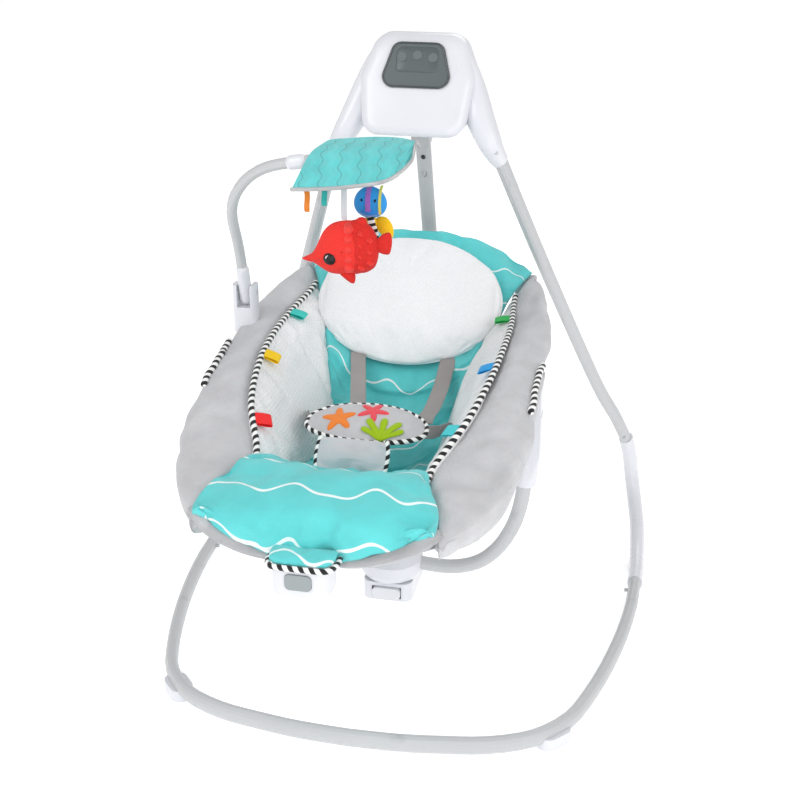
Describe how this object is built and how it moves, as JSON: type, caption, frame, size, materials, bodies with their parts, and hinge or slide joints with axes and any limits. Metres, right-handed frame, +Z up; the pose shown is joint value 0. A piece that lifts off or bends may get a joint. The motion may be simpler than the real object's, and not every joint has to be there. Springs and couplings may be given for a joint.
{
  "type": "baby swing",
  "caption": "Powered baby swing: tubular floor stand, head on legs, swinging arm, turning hub, reclining padded seat, canopy and toys on a folding bar.",
  "frame": {"origin": "on the floor under the middle of the whole swing", "axes": "+Z up, -Y is the way the baby faces, +X to the right as seen from the front"},
  "size_m": [0.7652, 0.9489, 0.911],
  "materials": {
    "white_plastic": "moulded, semi-gloss",
    "grey_tube": "satin powder coat",
    "steel": "brushed",
    "dark_panel": "glossy",
    "button_grey": "matte",
    "rubber": "matte",
    "teal_fabric": "woven polyester",
    "white_plush": "dotted plush",
    "grey_fabric": "woven polyester",
    "pillow_fabric": "velour",
    "strap": "webbing",
    "red_plush": "plush",
    "blue_plush": "plush",
    "copper": "enamelled wire",
    "board_green": "solder mask",
    "cell_silver": "printed sleeve",
    "black_plastic": "matte",
    "board_grey": "fibreboard"
  },
  "bodies": {
    "frame": {"base_tube": "grey_tube", "front_foot_left": "white_plastic", "front_foot_right": "white_plastic", "rubber_pads": "rubber", "rear_elbow_left": "white_plastic", "rear_elbow_right": "white_plastic", "leg_tube_left": "grey_tube", "leg_tube_right": "grey_tube", "snap_buttons": "steel", "leg_cover_left": "white_plastic", "leg_cover_right": "white_plastic", "cover_screws": "steel", "head_front_shell": "white_plastic", "head_rear_shell": "white_plastic", "control_panel": "dark_panel", "battery_cells": "cell_silver", "circuit_board": "board_green", "speaker": "black_plastic", "drive_coil": "copper", "pivot_bushes": "black_plastic"},
    "battery_door": {"battery_door": "white_plastic"},
    "power_button": {"power_button": "button_grey"},
    "speed_button": {"speed_button": "button_grey"},
    "sound_button": {"sound_button": "button_grey"},
    "swing_arm": {"pivot_shaft": "steel", "arm_hub": "grey_tube", "arm_upper": "grey_tube", "arm_lower": "grey_tube", "arm_bolt": "steel", "drive_magnet": "black_plastic", "hub_base": "white_plastic", "swivel_pin": "steel"},
    "hub_button": {"hub_button": "white_plastic"},
    "seat_carrier": {"turntable": "white_plastic", "hoop_left": "grey_tube", "hoop_right": "grey_tube", "bracket_left": "white_plastic", "bracket_right": "white_plastic", "recline_pins": "steel"},
    "seat": {"seat_rim": "steel", "seat_board": "board_grey", "seat_pad": "teal_fabric", "side_panel_left": "white_plush", "side_panel_right": "white_plush", "bolster_left": "grey_fabric", "bolster_right": "grey_fabric", "leg_rest": "teal_fabric", "head_pillow": "pillow_fabric", "harness_pad": "grey_fabric", "crotch_pad": "grey_fabric", "harness_straps": "strap", "buckle": "white_plastic", "vibration_housing": "white_plastic", "vibration_motor": "steel", "toy_socket": "white_plastic"},
    "vibration_button": {"vibration_button": "button_grey"},
    "toy_bar": {"toy_bar": "grey_tube", "canopy": "teal_fabric"},
    "fish_toy": {"fish_toy": "red_plush"},
    "bubble_toy": {"bubble_toy": "blue_plush"}
  },
  "joints": [
    {"name": "swing", "type": "hinge", "parent": "frame", "child": "swing_arm", "pos_m": [0, 0.21, 0.8], "axis": [0, 1, 0], "range_deg": [-5, 5]},
    {"name": "seat_turn", "type": "hinge", "parent": "swing_arm", "child": "seat_carrier", "pos_m": [0, 0.026, 0.126], "axis": [0, 0, 1], "range_deg": [-60, 90]},
    {"name": "seat_recline", "type": "hinge", "parent": "seat_carrier", "child": "seat", "pos_m": [0, 0.026, 0.47], "axis": [-1, 0, 0], "range_deg": [0, 12]},
    {"name": "toy_bar_fold", "type": "hinge", "parent": "seat", "child": "toy_bar", "pos_m": [-0.218, 0.026, 0.566], "axis": [1, 0, 0], "range_deg": [0, 45]},
    {"name": "fish_hang", "type": "hinge", "parent": "toy_bar", "child": "fish_toy", "pos_m": [-0.028, -0.126, 0.776], "axis": [0, 1, 0], "range_deg": [-20, 20]},
    {"name": "bubble_hang", "type": "hinge", "parent": "toy_bar", "child": "bubble_toy", "pos_m": [-0.006, -0.072, 0.79], "axis": [0, 1, 0], "range_deg": [-20, 20]},
    {"name": "power_button_press", "type": "slide", "parent": "frame", "child": "power_button", "axis": [0, 0.8829, -0.4695], "range_m": [0, 0.0015], "stiffness_N_per_m": 300},
    {"name": "speed_button_press", "type": "slide", "parent": "frame", "child": "speed_button", "axis": [0, 0.8829, -0.4695], "range_m": [0, 0.0015], "stiffness_N_per_m": 300},
    {"name": "sound_button_press", "type": "slide", "parent": "frame", "child": "sound_button", "axis": [0, 0.8829, -0.4695], "range_m": [0, 0.0015], "stiffness_N_per_m": 300},
    {"name": "hub_button_press", "type": "slide", "parent": "swing_arm", "child": "hub_button", "axis": [0, 1, 0], "range_m": [0, 0.003], "stiffness_N_per_m": 400},
    {"name": "vibration_button_press", "type": "slide", "parent": "seat", "child": "vibration_button", "axis": [0, 1, 0], "range_m": [0, 0.0015], "stiffness_N_per_m": 300},
    {"name": "battery_door_lift", "type": "slide", "parent": "frame", "child": "battery_door", "axis": [0, 1, 0], "range_m": [0, 0.03]}
  ]
}
